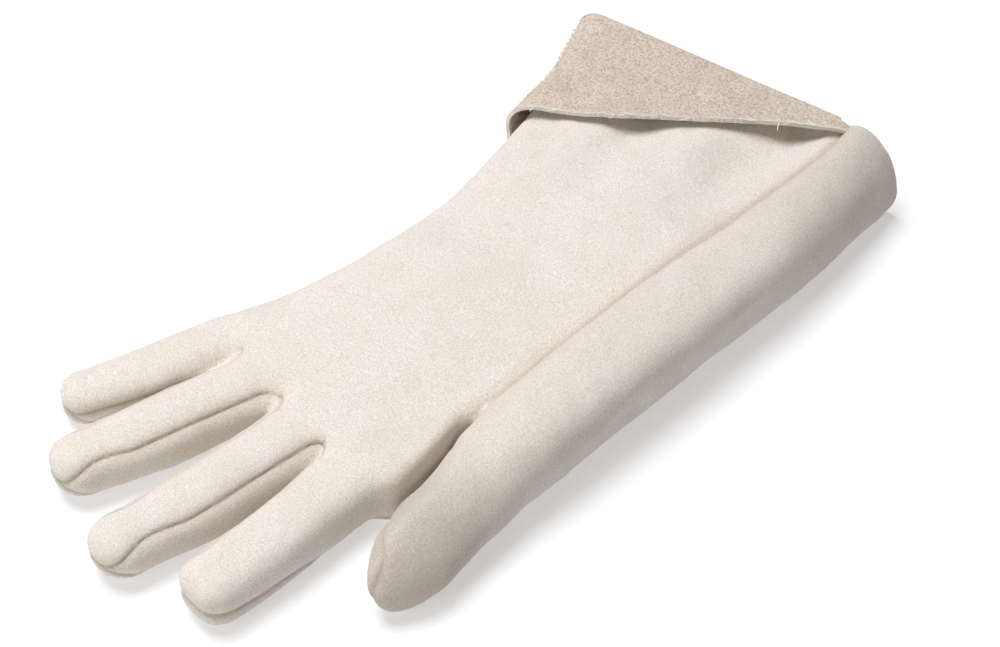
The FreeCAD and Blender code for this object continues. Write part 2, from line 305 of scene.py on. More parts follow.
def main_field(x, y, z):
    """The hand and the gauntlet: a box with rounded corners and a crowned top."""
    left, right = outer_edge(y), seam_edge(y)
    middle, half = (left + right) / 2, (right - left) / 2
    u = np.clip((x - middle) / half, -1, 1)
    low = under_height(y)
    high = top_height(y) + crown_height(y) * (1 - u * u)
    radius = np.minimum(np.where(x < middle, outer_corner(y), inner_corner(y)), 0.49 * (high - low))
    reach_x = np.abs(x - middle) - half + radius
    reach_y = knuckle_line(x) - y + radius
    reach_z = np.abs(z - (low + high) / 2) - (high - low) / 2 + radius
    outside = np.sqrt(sum(np.maximum(reach, 0) ** 2 for reach in (reach_x, reach_y, reach_z)))
    return outside + np.minimum(np.maximum(reach_x, np.maximum(reach_y, reach_z)), 0) - radius


def roll_field(x, y, z):
    """The side roll and the thumb: a tube with a domed tip, cut off by the thumb's inner slope."""
    half_width, half_height = roll_half_width(y), roll_half_height(y)
    rise = z - FLOOR_GAP - half_height
    across = (x - roll_centre(y) + roll_lean(y) * rise) / half_width
    tip = np.maximum(THUMB_TIP + THUMB_DOME - y, 0) / THUMB_DOME
    distance = power_norm(roll_power(y), across, rise / half_height, tip) - 1
    tube = distance * np.minimum(half_width, half_height)
    inner_side = roll_centre(y) - half_width
    slope_width = np.maximum(thumb_ridge(y) - inner_side, 0.5)
    slope_height = 2 * half_height - SLOPE_FOOT
    slope = (z - SLOPE_FOOT) * slope_width - (x - inner_side) * slope_height
    return smooth_max(tube, slope / np.hypot(slope_width, slope_height) - slope_slack(y), 4.0)


def glove_field(x, y, z):
    """Below 0 inside the glove, and about the distance from its skin nearby."""
    fingers = DIGITS["index"].field(x, y, z)
    for name in FINGERS[1:]:
        fingers = smooth_min(fingers, DIGITS[name].field(x, y, z), 3.0)
    body = smooth_min(main_field(x, y, z), fingers, 7.0)
    rounding = 0.2 + 3.8 * fade(y, -45, -32)
    joined = smooth_min(body, roll_field(x, y, z), rounding)
    return smooth_max(joined, FLOOR_GAP - z, 2.0)


def slope_of(field, points, reach=0.4):
    """The field's gradient at points, by differences."""
    columns = []
    for shift in reach * np.eye(3):
        rise = field(*(points + shift).T) - field(*(points - shift).T)
        columns.append(rise / (2 * reach))
    return np.stack(columns, axis=1)


def settle(field, points, rounds=2):
    """Points moved onto the field's zero level."""
    for _ in range(rounds):
        slope = slope_of(field, points)
        steepness = np.maximum((slope**2).sum(axis=1), 0.05)
        step = (field(*points.T) / steepness)[:, None] * slope
        points = points - np.clip(step, -3, 3)
    return points


def crossing(field, start, end, level):
    """Where a field reaches a level, between points inside it and points outside it."""
    near, far = np.zeros(len(start)), np.ones(len(start))
    for _ in range(30):
        middle = (near + far) / 2
        outside = field(*(start + (end - start) * middle[:, None]).T) > level
        near, far = np.where(outside, near, middle), np.where(outside, middle, far)
    return start + (end - start) * near[:, None]


# ---------------- meshing a field


def corners(array):
    """The eight corner values of each cell."""
    for part in product((slice(None, -1), slice(1, None)), repeat=3):
        yield array[part]


def surface(field, low, high, step):
    """The field's zero level as (points, triangles), outward faces anticlockwise."""
    x, y, z = np.meshgrid(*(np.arange(a, b, step) for a, b in zip(low, high)), indexing="ij", sparse=True)
    inside = np.broadcast_to(field(x, y, z), (x.size, y.size, z.size)) < 0
    count = sum(corner.astype(np.int8) for corner in corners(inside))
    cell = (count > 0) & (count < 8)
    index = np.full(cell.shape, -1)
    index[cell] = np.arange(cell.sum())
    points = np.array(low) + (np.argwhere(cell) + 0.5) * step
    quads = []
    for axis in range(3):
        ahead = [slice(None)] * 3
        behind = [slice(None)] * 3
        ahead[axis], behind[axis] = slice(1, None), slice(None, -1)
        for outward in (True, False):
            here, there = inside[tuple(behind)], inside[tuple(ahead)]
            edge = np.argwhere((here & ~there) if outward else (there & ~here))
            edge = edge[((edge > 0) & (edge < np.array(cell.shape))).all(axis=1)]
            u, v = np.eye(3, dtype=int)[(axis + 1) % 3], np.eye(3, dtype=int)[(axis + 2) % 3]
            ring = [index[tuple((edge - shift).T)] for shift in (u + v, v, 0 * u, u)]
            quads.append(np.stack(ring if outward else ring[::-1], axis=1))
    quads = np.concatenate(quads)
    sides = np.concatenate([quads[:, [i, (i + 1) % 4]] for i in range(4)])
    for _ in range(3):
        points = settle(field, neighbour_mean(points, sides), 1)
    points = settle(field, points)
    diagonals = [np.linalg.norm(points[quads[:, i]] - points[quads[:, i + 2]], axis=1) for i in (0, 1)]
    shorter = diagonals[0] <= diagonals[1]
    first, second = quads[shorter], quads[~shorter]
    triangles = [first[:, [0, 1, 2]], first[:, [0, 2, 3]], second[:, [0, 1, 3]], second[:, [1, 2, 3]]]
    return points, np.concatenate(triangles)


def neighbour_mean(points, sides):
    """Each point moved to the mean of its neighbours."""
    total = np.zeros_like(points)
    for axis in range(3):
        total[:, axis] = np.bincount(sides[:, 0], points[sides[:, 1], axis], len(points))
        total[:, axis] += np.bincount(sides[:, 1], points[sides[:, 0], axis], len(points))
    count = np.bincount(sides.ravel(), minlength=len(points))
    return total / np.maximum(count, 1)[:, None]


def cut(points, triangles, values, where=True):
    """Splits triangles where values cross 0, so that no triangle there lies on both sides."""
    values = np.where(np.abs(values) < ON_CUT, 0.0, values)
    where = np.broadcast_to(where, values.shape)
    starts, ends = triangles, np.roll(triangles, -1, axis=1)
    crossed = (values[starts] * values[ends] < 0) & where[starts] & where[ends]
    if not crossed.any():
        return points, triangles
    low, high = np.minimum(starts, ends), np.maximum(starts, ends)
    keys, place = np.unique((low * len(points) + high)[crossed], return_inverse=True)
    a, b = keys // len(points), keys % len(points)
    share = (values[a] / (values[a] - values[b]))[:, None]
    made = np.full(triangles.shape, -1)
    made[crossed] = len(points) + place
    points = np.concatenate([points, points[a] + share * (points[b] - points[a])])
    count = crossed.sum(axis=1)
    result = [triangles[count == 0]]
    for number, leading in ((1, lambda c: c[:, 0]), (2, lambda c: c[:, 0] & c[:, 2])):
        for turn in range(3):
            rolled = np.roll(crossed, -turn, axis=1)
            chosen = (count == number) & leading(rolled)
            p, q, r = np.roll(triangles[chosen], -turn, axis=1).T
            first, _, third = np.roll(made[chosen], -turn, axis=1).T
            if number == 1:
                parts = [(p, first, r), (first, q, r)]
            else:
                parts = [(p, first, third), (first, q, third), (q, r, third)]
            result += [np.stack(part, axis=1) for part in parts]
    return points, np.concatenate(result)


def cut_all(points, triangles, rules):
    """Cuts by each rule in turn, a function of x, y and z that gives cut() its values and places."""
    for rule in rules:
        points, triangles = cut(points, triangles, *rule(*points.T))
    return points, triangles


# ---------------- where the pieces and their seams run

# The ends of the length that bends at the wrist, in y.
WRIST_FRONT, WRIST_BACK = -6.0, 36.0
# The height of the seam along the edge away from the thumb, which is on points with x below ULNAR_SIDE.
ULNAR_SEAM = 17.5
ULNAR_SIDE = -30

fold_axis = np.array(JOINTS["cuff_fold"]["axis"])
fold_point = hinge("cuff_fold")
fold_back = np.array([-fold_axis[1], fold_axis[0], 0.0])
if fold_back[1] < 0:
    fold_back = -fold_back


def behind_cuff(x, y, z=0.0, setback=0.0):
    """Distance past the cuff's mouth, or past a line that is setback in front of it."""
    return (x - fold_point[0]) * fold_back[0] + (y - fold_point[1]) * fold_back[1] + setback


def nearest_finger(x, y, z):
    """Index into FINGERS of the finger whose skin is nearest."""
    return np.argmin([DIGITS[name].field(x, y, z) for name in FINGERS], axis=0)


def is_thumb(x, y, z):
    """True near and in front of the crotch where the thumb's skin is nearer than the rest of the glove's."""
    others = np.minimum(main_field(x, y, z), DIGITS["index"].field(x, y, z))
    return (y < THUMB_CROTCH + 8) & (roll_field(x, y, z) < others)


def side_seam(x, y, z):
    """Above 0 on the side panel."""
    return main_field(x, y, z) - roll_field(x, y, z) - 0.5


def thumb_seam(x, y, z):
    """Above 0 on the thumb's outer half."""
    return x - roll_centre(y) + thumb_seam_place(y) * roll_half_width(y)


FINGER_SEAMS = ("upper", "lower", "outer")


def seam_height(finger, x, y, kind):
    """Height of a finger's seam: "upper" and "lower" on its boxed sides, "outer" on an open side.

    Each is given as shares of the finger's height, at shares of its length. All meet at the tip.
    """
    station, upper = finger.station(x, y), finger.upper_seam
    heights = {
        "upper": ((0.0, upper), (0.6, upper), (0.9, upper - 0.07)),
        "lower": ((0.0, 0.16), (0.6, 0.17), (0.88, 0.26)),
        "outer": finger.outer_seam,
    }
    share = curve(*heights[kind], (1.0, 0.5))(station / finger.length)
    return FLOOR_GAP + 2 * finger.half_height(station) * share


def finger_seams(x, y, z):
    """Height above the nearest finger's seams, as {kind: (height, where it applies)}, and its station."""
    near = nearest_finger(x, y, z)
    result = {kind: [np.full(x.shape, FAR), np.zeros(x.shape, bool)] for kind in FINGER_SEAMS}
    ahead = np.zeros(x.shape)
    for number, name in enumerate(FINGERS):
        finger = DIGITS[name]
        station = finger.station(x, y)
        here = (near == number) & (station > -14)
        boxed = np.isin(np.sign(finger.side(x, y)), finger.neighbours)
        ahead = np.where(near == number, station, ahead)
        for kind in FINGER_SEAMS:
            applies = here & (~boxed if kind == "outer" else boxed)
            height = z - seam_height(finger, x, y, kind)
            result[kind][0] = np.where(applies, height, result[kind][0])
            result[kind][1] |= applies
    return result, ahead


def seam_values(points):
    """For each seam, how far each point is to one side of it, and how strongly it is drawn in there."""
    x, y, z = points.T
    kinds, ahead = finger_seams(x, y, z)
    thumb = is_thumb(x, y, z)
    front = main_field(x, y, z) < 6
    values = {
        "side": (side_seam(x, y, z), fade(y, THUMB_CROTCH + 1, THUMB_CROTCH + 14) * front),
        "thumb": (thumb_seam(x, y, z), 0.6 * thumb * fade(-y, -THUMB_CROTCH - 1, -THUMB_CROTCH + 8)),
        "ulnar": (z - ULNAR_SEAM, (x < ULNAR_SIDE) & (y > -92) & ~thumb),
    }
    for kind, (value, applies) in kinds.items():
        values[kind] = (value, applies * fade(ahead, -9, 2) * ~thumb)
    return values


def seam_distance(points, normals):
    """Distance from the nearest seam along the skin, with its strength, for each point."""
    reach = 0.25
    shifted = [seam_values(points + step) for step in reach * np.eye(3)]
    nearest = np.full(len(points), FAR)
    strength = np.zeros(len(points))
    for seam, (value, force) in seam_values(points).items():
        slope = np.stack([(moved[seam][0] - value) / reach for moved in shifted], axis=1)
        slope -= (slope * normals).sum(axis=1, keepdims=True) * normals
        steepness = np.linalg.norm(slope, axis=1)
        # A steeper slope than 2.5 is a jump to another finger's value, which says nothing about distance.
        steepness = np.where(steepness > 2.5, 1.0, np.maximum(steepness, 0.15))
        distance = np.where(force > 0.01, np.abs(value) / steepness, FAR)
        closer = distance < nearest
        nearest = np.where(closer, distance, nearest)
        strength = np.where(closer, force, strength)
    return nearest, strength


# Soft valleys pressed into the gauntlet's back, as (start, end, half-width, depth).
DENTS = (
    ((-22, 130), (-10, 66), 9.0, 6.2),
    ((30, 176), (38, 88), 12.0, 7.4),
    ((-54, 96), (-40, 50), 9.0, 3.2),
)


def dents(points):
    """How deep the valleys are at points on top of the gauntlet."""
    depth = np.zeros(len(points))
    for start, end, half_width, deepest in DENTS:
        start, along = np.array(start), np.subtract(end, start)
        share = np.clip((points[:, :2] - start) @ along / (along @ along), 0, 1)
        distance = np.linalg.norm(points[:, :2] - start - share[:, None] * along, axis=1)
        spread = half_width * (1 + 0.6 * share)
        depth += deepest * (1 - share) ** 0.7 * np.exp(-((distance / spread) ** 2))
    return depth * fade(points[:, 2], 26, 34)


# A seam is drawn in as a sharp crease in a wider dip.
DIP_DEPTH, DIP_WIDTH = 0.55, 3.6
CREASE_DEPTH, CREASE_WIDTH = 1.15, 0.8


def relief(points, normals, fine=True):
    """How far the leather stands off the smooth surface, and each point's seam distance and strength."""
    distance, strength = seam_distance(points, normals)
    dip = DIP_DEPTH * np.exp(-((distance / DIP_WIDTH) ** 2))
    crease = CREASE_DEPTH * np.exp(-distance / CREASE_WIDTH)
    height = -strength * (dip + crease)
    height += 0.9 * wander(points, 34.0) + 0.35 * wander(points, 11.0, 7.0)
    near_cuff = fade(points[:, 1], 40, 120) * fade(-points[:, 0], -50, -30)
    height += 1.5 * near_cuff * wander(points * (1.0, 0.45, 0.0), 19.0, 4.0)
    height -= dents(points)
    if fine:
        height += 0.12 * wander(points, 3.5, 3.0)
    height *= fade(points[:, 2], 0.2, 3.0)
    return height, distance, strength


ZONES = ("gauntlet", "wrist", "hand") + tuple(
    f"{digit}_{part}" for digit in (*FINGERS, "thumb") for part in ("knuckle", "proximal", "bend", "distal")
)


def zone_of(points):
    """Each point's length of the glove, as an index into ZONES."""
    x, y, z = points.T
    zone = np.where(y > WRIST_BACK, 0, np.where(y > WRIST_FRONT, 1, 2))
    near = nearest_finger(x, y, z)
    thumb = is_thumb(x, y, z)
    for number, digit in enumerate((*DIGITS.values(), THUMB)):
        station = digit.station(x, y)
        mine = thumb if digit is THUMB else (near == number) & ~thumb
        mine = mine & (station > 0) & (y < WRIST_FRONT)
        ends = (digit.knuckle_end, digit.bend_start, digit.bend_end)
        zone = np.where(mine, 3 + 4 * number + sum(station > end for end in ends), zone)
    return zone


def panel_of(points):
    """Each point's leather panel: back, palm, side, sidewall, outer or inner."""
    x, y, z = points.T
    kinds, ahead = finger_seams(x, y, z)
    panel = np.where(z > ULNAR_SEAM, "back", "palm").astype("U8")
    for kind, below in (("upper", "sidewall"), ("lower", "palm"), ("outer", "palm")):
        value, applies = kinds[kind]
        above = panel if kind == "lower" else "back"
        panel = np.where(applies & (ahead > 0), np.where(value > 0, above, below), panel)
    thumb = is_thumb(x, y, z)
    panel = np.where((side_seam(x, y, z) > 0) & (y > WRIST_FRONT - 40) & ~thumb, "side", panel)
    on_thumb = thumb & (THUMB.station(x, y) > 0)
    panel = np.where(on_thumb, np.where(thumb_seam(x, y, z) > 0, "outer", "inner"), panel)
    return np.where(thumb & ~on_thumb, "side", panel)


def divide(points, triangles, setback=0.0, with_panels=True):
    """Cuts a surface along every joint between pieces and takes off what is past the cuff's mouth.

    Also gives the middle of each triangle.
    """
    rules = [
        lambda x, y, z: (behind_cuff(x, y, setback=setback), True),
        lambda x, y, z: (y - WRIST_BACK, True),
        lambda x, y, z: (y - WRIST_FRONT, True),
    ]
    for number, digit in enumerate((*DIGITS.values(), THUMB)):

        def across(station, x, y, z, digit=digit, number=number):
            own = is_thumb(x, y, z) if digit is THUMB else nearest_finger(x, y, z) == number
            return digit.station(x, y) - station, own & (y < WRIST_FRONT - 10)

        ends = (0.0, digit.knuckle_end, digit.bend_start, digit.bend_end)
        rules += [partial(across, end) for end in ends]
    if with_panels:
        rules += [
            lambda x, y, z: (side_seam(x, y, z), y > THUMB_CROTCH - 4),
            lambda x, y, z: (thumb_seam(x, y, z), is_thumb(x, y, z)),
            lambda x, y, z: (z - ULNAR_SEAM, (x < ULNAR_SIDE) & (y > -100)),
        ]
        rules += [lambda x, y, z, kind=kind: finger_seams(x, y, z)[0][kind] for kind in FINGER_SEAMS]
    points, triangles = cut_all(points, triangles, rules)
    centres = points[triangles].mean(axis=1)
    kept = behind_cuff(*centres.T, setback=setback) < 0
    return points, triangles[kept], centres[kept]


# ---------------- meshes


def build_mesh(name, points, triangles, normals):
    """A mesh of triangles with a normal for each of their corners; points in millimetres."""
    mesh = bpy.data.meshes.new(name)
    mesh.vertices.add(len(points))
    mesh.vertices.foreach_set("co", (points * MM).ravel())
    mesh.loops.add(3 * len(triangles))
    mesh.loops.foreach_set("vertex_index", triangles.ravel().astype(np.int32))
    mesh.polygons.add(len(triangles))
    mesh.polygons.foreach_set("loop_start", np.arange(0, 3 * len(triangles), 3, dtype=np.int32))
    mesh.polygons.foreach_set("use_smooth", np.ones(len(triangles), bool))
    mesh.update()
    mesh.validate()
    mesh.normals_split_custom_set(normals.tolist())
    return mesh


def face_normals(points, triangles):
    a, b, c = (points[triangles[:, i]] for i in range(3))
    return np.cross(b - a, c - a)


def point_normals(points, triangles):
    """Normals of a smooth surface, weighted by the faces' areas."""
    faces = face_normals(points, triangles)
    total = np.zeros_like(points)
    for corner in range(3):
        for axis in range(3):
            total[:, axis] += np.bincount(triangles[:, corner], faces[:, axis], len(points))
    return unit(total)


def into_scene(name, data):
    """A new object, linked to the scene."""
    obj = bpy.data.objects.new(name, data)
    bpy.context.scene.collection.objects.link(obj)
    return obj


def add_piece(mesh, material):
    """An object for a mesh, with its material in Blender."""
    obj = into_scene(mesh.name, mesh)
    mesh.materials.append(material)
    return obj


def shell(name, outer, inner, normals, triangles, material, marks=None):
    """A closed shell between an outer and an inner surface of the same triangles.

    marks are values for its points, by name, that its material reads.
    """
    used = np.unique(triangles)
    renumber = np.full(len(outer), -1)
    renumber[used] = np.arange(len(used))
    skin = renumber[triangles]
    count = len(used)
    points = np.concatenate([outer[used], inner[used]])
    starts, ends = skin.ravel(), np.roll(skin, -1, axis=1).ravel()
    forward, backward = starts * count + ends, ends * count + starts
    edge = ~np.isin(forward, backward)
    a, b = starts[edge], ends[edge]
    rim = np.concatenate([np.stack([b, a, a + count], 1), np.stack([b, a + count, b + count], 1)])
    faces = np.concatenate([skin, skin[:, ::-1] + count, rim])
    smooth = normals[used]
    rim_normals = np.repeat(unit(face_normals(points, rim)), 3, axis=0)
    loops = np.concatenate([smooth[skin.ravel()], -smooth[skin[:, ::-1].ravel()], rim_normals])
    mesh = build_mesh(name, points, faces, loops)
    for mark, values in (marks or {}).items():
        attribute = mesh.attributes.new(mark, "FLOAT", "POINT")
        attribute.data.foreach_set("value", np.concatenate([values[used]] * 2).astype(np.float32))
    return add_piece(mesh, material)


def settle_on_bodies(obj, zone):
    """Makes a piece of one zone follow its body; a piece of the wrist, a knuckle or a bend stays where it is.
    """
    digit, _, part = zone.partition("_")
    joined = THUMB if digit == "thumb" else DIGITS.get(digit)
    if zone == "wrist":
        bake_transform(obj)
    elif part == "knuckle":
        joined.place(0.0)
        joined.place(joined.knuckle_end)
        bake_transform(obj)
    elif part == "bend":
        start, end = joined.place(joined.bend_start), joined.place(joined.bend_end)
        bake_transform(obj)
    else:
        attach(obj, zone)


def cad_name(zone, panel):
    """The CAD node that a leather piece stands for."""
    digit, _, part = zone.partition("_")
    if zone == "wrist":
        return "wrist_band"
    if part in ("knuckle", "bend"):
        return f"{digit}_{part}_band"
    if zone in ("gauntlet", "hand"):
        return f"{zone}_{panel}_panel"
    if panel == "sidewall" and digit in ("middle", "ring"):
        return f"{zone}_sidewalls"
    return f"{zone}_{panel}"


# ---------------- materials


class Nodes:
    """A material's node tree, with short ways to add to it."""

    def __init__(self, name):
        self.material = bpy.data.materials.new(name)
        self.material.use_nodes = True
        self.tree = self.material.node_tree
        self.shader = self.tree.nodes["Principled BSDF"]
        self.place = self.add("ShaderNodeTexCoord").outputs["Object"]

    def add(self, kind, **settings):
        node = self.tree.nodes.new(kind)
        for key, value in settings.items():
            setattr(node, key, value)
        return node

    def link(self, start, end):
        self.tree.links.new(start, end)

    def noise(self, grain, detail=3.0, roughness=0.55, stretch=(1, 1, 1)):
        """Noise from 0 to 1 whose grains are about that many millimetres wide."""
        mapping = self.add("ShaderNodeMapping")
        mapping.inputs["Scale"].default_value = stretch
        self.link(self.place, mapping.inputs["Vector"])
        node = self.add("ShaderNodeTexNoise")
        node.inputs["Scale"].default_value = 1 / (grain * MM)
        node.inputs["Detail"].default_value = detail
        node.inputs["Roughness"].default_value = roughness
        self.link(mapping.outputs["Vector"], node.inputs["Vector"])
        return node.outputs["Fac"]

    def spread(self, value, low, high):
        """value's range from low to high, stretched to 0 to 1."""
        node = self.add("ShaderNodeMapRange")
        node.inputs["From Min"].default_value = low
        node.inputs["From Max"].default_value = high
        self.link(value, node.inputs["Value"])
        return node.outputs["Result"]

    def fill(self, socket, value):
        """Gives an input a colour, a number or another node's output."""
        if isinstance(value, bpy.types.NodeSocket):
            self.link(value, socket)
        else:
            socket.default_value = (*value, 1) if isinstance(value, tuple) else value

    def mix(self, share, first, second, blend="MIX"):
        """first where share is 0 and second where it is 1."""
        node = self.add("ShaderNodeMix", data_type="RGBA", blend_type=blend)
        # A mix node has inputs for each type of value. These are its share and its two colours.
        for number, value in ((0, share), (6, first), (7, second)):
            self.fill(node.inputs[number], value)
        return node.outputs[2]

    def times(self, first, second):
        node = self.add("ShaderNodeMath", operation="MULTIPLY")
        self.fill(node.inputs[0], first)
        self.fill(node.inputs[1], second)
        return node.outputs[0]

    def mark(self, name):
        """The value of a shell's mark."""
        return self.add("ShaderNodeAttribute", attribute_name=name).outputs["Fac"]

    def bump(self, heights):
        """Bumps from (value, depth in millimetres) pairs."""
        normal = None
        for value, depth in heights:
            node = self.add("ShaderNodeBump")
            node.inputs["Distance"].default_value = depth * MM
            node.inputs["Strength"].default_value = 1.0
            self.link(value, node.inputs["Height"])
            if normal is not None:
                self.link(normal, node.inputs["Normal"])
            normal = node.outputs["Normal"]
        self.link(normal, self.shader.inputs["Normal"])

    def finish(self, colour, rough, sheen, sheen_rough=0.5):
        self.link(colour, self.shader.inputs["Base Color"])
        self.shader.inputs["Roughness"].default_value = rough
        self.shader.inputs["Specular IOR Level"].default_value = 0.2
        self.shader.inputs["Sheen Weight"].default_value = sheen
        self.shader.inputs["Sheen Roughness"].default_value = sheen_rough
        self.shader.inputs["Sheen Tint"].default_value = (1, 1, 1, 1)
        return self.material


def make_suede():
    """Cream split leather with a short brushed nap."""
    nodes = Nodes("cream_suede")
    nap = nodes.noise(0.75, 3.0, 0.75)
    fibres = nodes.noise(0.45, 3.0, 0.7)
    brushed = nodes.noise(26.0, 3.0)
    colour = nodes.mix(nodes.spread(brushed, 0.35, 0.65), (0.84, 0.78, 0.705), (0.88, 0.83, 0.765))
    colour = nodes.mix(nodes.spread(nap, 0.40, 0.60), nodes.mix(0.52, colour, (0.50, 0.41, 0.32)), colour)
    # Greyer and darker over the side panel and the thumb, and painted shade on the low thumb side.
    colour = nodes.mix(nodes.mark("greyed_and_low_shade"), colour, nodes.mix(1.0, colour, (0.72, 0.69, 0.66), "MULTIPLY"))
    # Darker brown along the seams, as painted shade in their creases with their own darker tone, and as
    # painted shade in the gap between thumb and hand.
    colour = nodes.mix(nodes.times(nodes.mark("seam"), 0.55), colour, (0.42, 0.31, 0.22))
    nodes.bump([(brushed, 0.5), (nap, 0.45), (fibres, 0.18)])
    return nodes.finish(colour, 0.95, 0.25, 0.6)


def make_rough_suede():
    """The flesh side of the same leather: darker, coarser and mottled."""
    nodes = Nodes("rough_suede")
    lumps = nodes.noise(1.15, 4.0, 0.7)
    grain = nodes.noise(0.6, 3.0)
    blotches = nodes.noise(14.0, 3.0)
    colour = nodes.mix(nodes.spread(blotches, 0.35, 0.65), (0.74, 0.64, 0.53), (0.80, 0.72, 0.62))
    colour = nodes.mix(nodes.spread(lumps, 0.36, 0.56), nodes.mix(0.75, colour, (0.36, 0.25, 0.16)), colour)
    colour = nodes.mix(nodes.spread(grain, 0.35, 0.65), nodes.mix(0.25, colour, (0.35, 0.25, 0.17)), colour)
    colour = nodes.mix(nodes.mark("cut_edge"), colour, (0.83, 0.77, 0.69))
    nodes.bump([(lumps, 0.7), (grain, 0.4)])
    return nodes.finish(colour, 0.97, 0.15, 0.6)


def make_fleece():
    nodes = Nodes("insulating_lining")
    tufts = nodes.noise(1.6, 4.0, 0.7)
    colour = nodes.mix(nodes.spread(tufts, 0.35, 0.65), (0.62, 0.58, 0.50), (0.80, 0.77, 0.70))
    nodes.bump([(tufts, 1.2)])
    return nodes.finish(colour, 1.0, 0.4, 0.5)


def make_thread():
    nodes = Nodes("thread")
    twist = nodes.noise(0.5, 2.0, stretch=(1, 1, 3))
    colour = nodes.mix(twist, (0.78, 0.76, 0.72), (0.92, 0.91, 0.88))
    nodes.bump([(twist, 0.1)])
    return nodes.finish(colour, 0.8, 0.2)


suede, rough_suede, fleece, thread = make_suede(), make_rough_suede(), make_fleece(), make_thread()


# ---------------- the glove's leather and lining

# A box round the whole glove.
LOW, HIGH = (-100.0, -206.0, -4.0), (100.0, 204.0, 54.0)
# How far the lining ends inside the cuff's mouth.
LINING_SETBACK = 14.0
# How far the darker colour along a seam, and the painted shade in the gap between thumb and hand, spread over
# the leather.
SEAM_SHADE_WIDTH, CREVICE_SHADE_WIDTH = 1.4, 2.8


def greying_and_low_shade(points):
    """How much the colour greys over the side panel and the thumb, with painted shade on the low thumb side.
    """
    x, y, z = points.T
    roll = roll_field(x, y, z)
    on_roll = fade(main_field(x, y, z) - roll, -1, 3) * fade(-roll, -4, -1)
    along = 0.25 + 0.65 * fade(-y, 50, 95) + 0.35 * fade(y, 90, 165)
    # Painted shade on the thumb side where it is low.
    low = 0.55 * fade(-z, -14, -3) * fade(x, 30, 70)
    return np.clip(on_roll * along + low + 0.12 * wander(points, 12.0, 6.0), 0, 1)


def make_skin():
    """The leather, a shell for each panel of each zone."""
    points, triangles = surface(glove_field, LOW, HIGH, SKIN_STEP)
    points, triangles, centres = divide(points, triangles)
    points = settle(glove_field, points, 1)
    flat_normals = unit(slope_of(glove_field, points))
    height, distance, strength = relief(points, flat_normals)
    outer = points + flat_normals * height[:, None]
    outer[:, 2] = np.maximum(outer[:, 2], FLOOR_GAP)
    inner = outer - flat_normals * LEATHER
    normals = point_normals(outer, triangles)
    # Painted shade: the seam mark darkens the seams' creases, with their own darker tone, and the gap between
    # thumb and hand.
    gap = np.maximum(main_field(*points.T), roll_field(*points.T))
    crevice_shade = fade(-points[:, 1], 34, 44) * np.exp(-((gap / CREVICE_SHADE_WIDTH) ** 2))
    seam = strength * np.exp(-((distance / SEAM_SHADE_WIDTH) ** 2))
    marks = {"seam": np.maximum(seam, crevice_shade), "greyed_and_low_shade": greying_and_low_shade(points)}
    zones, panels = zone_of(centres), panel_of(centres)
    for number, zone in enumerate(ZONES):
        part = zone.partition("_")[2]
        for panel in np.unique(panels[zones == number]):
            chosen = triangles[(zones == number) & (panels == panel)]
            stands_for = cad_name(zone, panel)
            banded = zone == "wrist" or part in ("knuckle", "bend")
            name = f"{zone}_{panel}_leather" if banded else stands_for
            obj = shell(f"{name}_", outer, inner, normals, chosen, suede, marks)
            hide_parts(stands_for)
            settle_on_bodies(obj, zone)


def make_lining():
    """The lining inside the leather, a shell for each zone."""

    def lining_field(x, y, z):
        return glove_field(x, y, z) + LEATHER + PLY_GAP

    points, triangles = surface(lining_field, LOW, HIGH, LINING_STEP)
    points, triangles, centres = divide(points, triangles, LINING_SETBACK, with_panels=False)
    normals = unit(slope_of(glove_field, points))
    height, _, _ = relief(points, normals, fine=False)
    outer = points + normals * height[:, None]
    inner = outer - normals * LINING
    smooth = point_normals(outer, triangles)
    zones = zone_of(centres)
    for number, zone in enumerate(ZONES):
        chosen = triangles[zones == number]
        obj = shell(f"{zone}_lining_", outer, inner, smooth, chosen, fleece)
        if f"{zone}_lining" in frame["nodes"]:
            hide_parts(f"{zone}_lining")
        settle_on_bodies(obj, zone)


make_skin()
make_lining()


# ---------------- leather turned back at the cuff

# The y of the turned-back leather's cut edges, along x.
raw_edge = curve((-80, 82), (-66, 85), (-40, 98), (0, 136), (25, 162), (50, 187))
under_raw_edge = curve((-90, 81), (-72, 82), (-62, 93), (-40, 100), (0, 122), (44, 150))
# Gaps between the gauntlet and the leather turned back over its top, and turned under its palm.
FLAP_LIFT = 1.0
UNDER_LIFT = 0.4
# The seam between the two turned-back pieces is at this share of the gauntlet's height.
TURNED_SEAM_SHARE = 0.93
# Where the two pieces end on the thumb side, in x.
FLAP_END, UNDER_END = 52, 44
# The raw edge slants, so a point's distance from it is about this share of the distance along y.
SLANT_SHARE = 0.72


def turned_seam(x, y, z):
    """Above 0 on the flap, below 0 on the piece that goes round the outer edge."""
    return z - TURNED_SEAM_SHARE * top_height(y)


def flap_lift(x, y, z):
    """Gap between the gauntlet and the leather turned back over it."""
    depth = np.maximum(y - raw_edge(x), 0)
    across = fade(x, -62, -20) * fade(-x, -46, -20)
    beside = fade(-x, 50, 68)
    rise = np.exp(-depth / 16.0) * (0.6 + 1.6 * across) + 0.9 * np.exp(-depth / 3.5)
    round_side = 3.4 * beside * fade(-y, -122, -92) * fade(z, 5, 18)
    over = fade(z, 8, 16)
    return (UNDER_LIFT * (1 - over) + FLAP_LIFT * over) + rise * fade(z, 20, 34) + round_side


def turned_field(x, y, z):
    """0 on the side of the turned-back leather that faces the gauntlet."""
    return main_field(x, y, z) - flap_lift(x, y, z)


